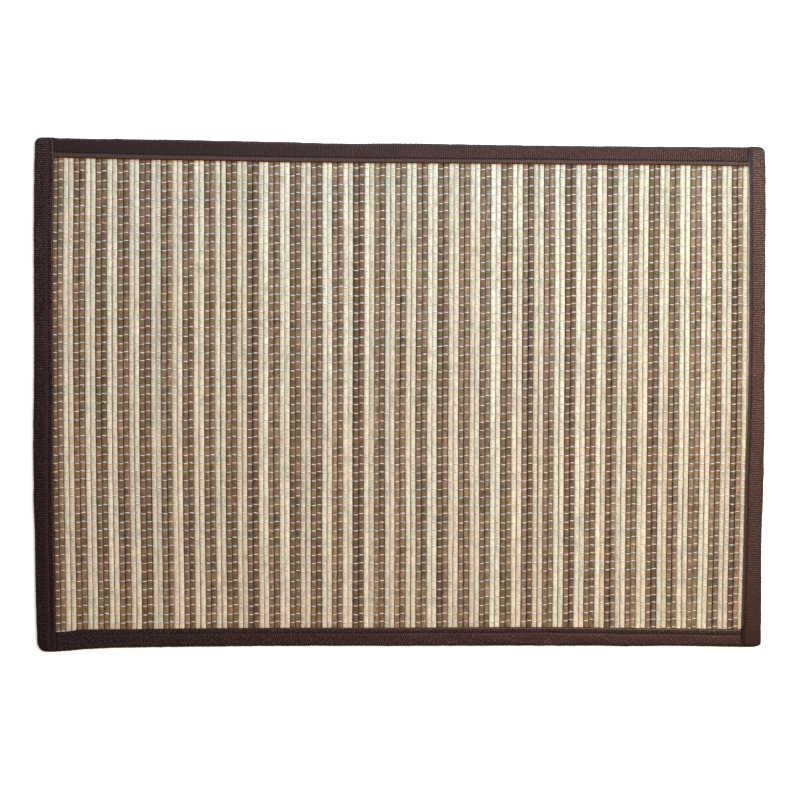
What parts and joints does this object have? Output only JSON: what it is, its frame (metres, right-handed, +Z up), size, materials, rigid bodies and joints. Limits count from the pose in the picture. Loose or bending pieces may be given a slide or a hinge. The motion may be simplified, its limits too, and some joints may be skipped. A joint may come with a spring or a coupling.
{
  "type": "bamboo placemat",
  "caption": "Rectangular flat placemat of brown and cream bamboo slats woven together with cotton thread, its edges bound by a folded dark brown tape.",
  "frame": {"origin": "middle of the underside, on the surface that the mat lies on", "axes": "+X along the long side, across the slats; +Y along the slats, towards the edge that is at the top of the picture; +Z up, out of the face"},
  "size_m": [0.4322, 0.3002, 0.0038],
  "materials": {
    "bamboo_cream": "satin",
    "bamboo_brown": "satin",
    "tape": "matte",
    "thread": "matte"
  },
  "bodies": {
    "root": {"slat_panel": "bamboo_cream", "binding_left": "tape", "binding_right": "tape", "binding_top": "tape", "binding_bottom": "tape"}
  },
  "joints": []
}
